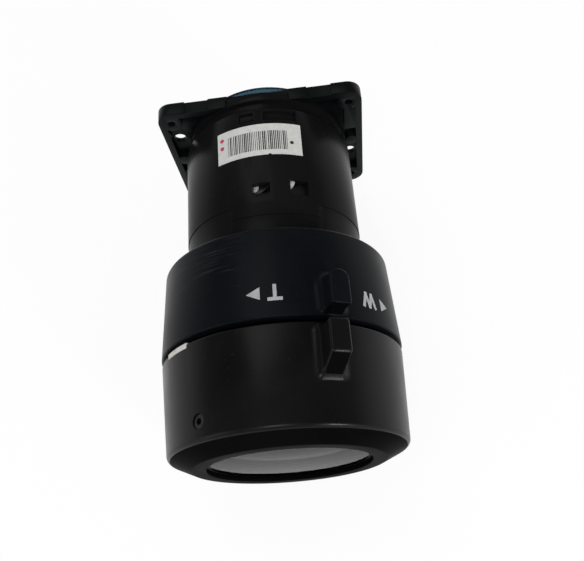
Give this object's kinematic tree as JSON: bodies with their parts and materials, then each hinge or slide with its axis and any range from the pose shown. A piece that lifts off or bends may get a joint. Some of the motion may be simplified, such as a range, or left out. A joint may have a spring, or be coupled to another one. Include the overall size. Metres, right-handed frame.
{
  "type": "projector zoom lens",
  "caption": "Flanged zoom lens for a video projector, with a fixed barrel, a zoom ring and a focus ring that have finger tabs, and lens groups that slide inside.",
  "frame": {"origin": "on the optical axis, in the rear face of the mounting flange, midway between its two screw holes", "axes": "+Y along the optical axis towards the rear, so the front glass looks along -Y; +Z towards the flange's upper edge; +X to the right seen from the front"},
  "size_m": [0.0592, 0.0983, 0.0624],
  "materials": {
    "black_casting": "black moulded plastic, fine grain",
    "black_barrel": "black moulded plastic, satin",
    "black_ring": "black moulded plastic, satin",
    "black_inner": "black plastic, dull",
    "black_alloy": "black anodised",
    "steel": "blackened steel",
    "white_nylon": "white nylon",
    "label_paper": "white label stock",
    "white_print": "white screen print",
    "coated_glass": "polished glass with a teal anti-reflection coating"
  },
  "bodies": {
    "barrel": {"mount_flange": "black_casting", "flange_screws": "steel", "fixed_barrel": "black_barrel", "barrel_label": "label_paper", "rear_cell": "black_inner", "rear_lens_back": "coated_glass", "rear_lens_spacer": "black_inner", "rear_lens_front": "coated_glass", "rear_lens_retainer": "black_inner"},
    "zoom": {"zoom_ring": "black_ring", "zoom_marks": "white_print", "cam_barrel": "black_alloy", "cam_barrel_pads": "white_nylon", "zoom_drive_screws": "steel"},
    "variator": {"variator_cell": "black_inner", "variator_lens_rear": "coated_glass", "variator_spacer": "black_inner", "variator_lens_front": "coated_glass", "variator_retainer": "black_inner", "variator_pins": "steel", "variator_rollers": "white_nylon"},
    "compensator": {"compensator_cell": "black_inner", "aperture_ring": "black_inner", "compensator_lens": "coated_glass", "compensator_retainer": "black_inner", "compensator_pins": "steel", "compensator_rollers": "white_nylon"},
    "front_group": {"front_cell": "black_inner", "front_lens": "coated_glass", "front_spacer": "black_inner", "middle_lens": "coated_glass", "tail_lens": "coated_glass", "tail_retainer": "black_inner", "front_retainer": "black_inner", "front_keys": "steel"},
    "focus": {"focus_ring": "black_ring", "helicoid_ring": "black_alloy", "cell_capture_ring": "black_alloy", "focus_grub_screws": "steel", "glide_pad": "white_nylon"}
  },
  "joints": [
    {"name": "zoom_turn", "type": "hinge", "parent": "barrel", "child": "zoom", "pos_m": [0, -0.0569, 0], "axis": [0, 1, 0], "range_deg": [-27, 27]},
    {"name": "variator_slide", "type": "slide", "parent": "barrel", "child": "variator", "axis": [0, -1, 0], "range_m": [-0.0065, 0.0065]},
    {"name": "compensator_slide", "type": "slide", "parent": "barrel", "child": "compensator", "axis": [0, -1, 0], "range_m": [-0.0025, 0.0025]},
    {"name": "front_slide", "type": "slide", "parent": "barrel", "child": "front_group", "axis": [0, -1, 0], "range_m": [-0.0008, 0.0016]},
    {"name": "focus_turn", "type": "hinge", "parent": "front_group", "child": "focus", "pos_m": [0, -0.0803, 0], "axis": [0, 1, 0], "range_deg": [-40, 80]}
  ],
  "couplings": [
    {"joint": "variator_slide", "follows": "zoom_turn", "m_per_rad": 0.013793},
    {"joint": "compensator_slide", "follows": "zoom_turn", "m_per_rad": 0.005305},
    {"joint": "front_slide", "follows": "focus_turn", "m_per_rad": 0.0011459}
  ]
}
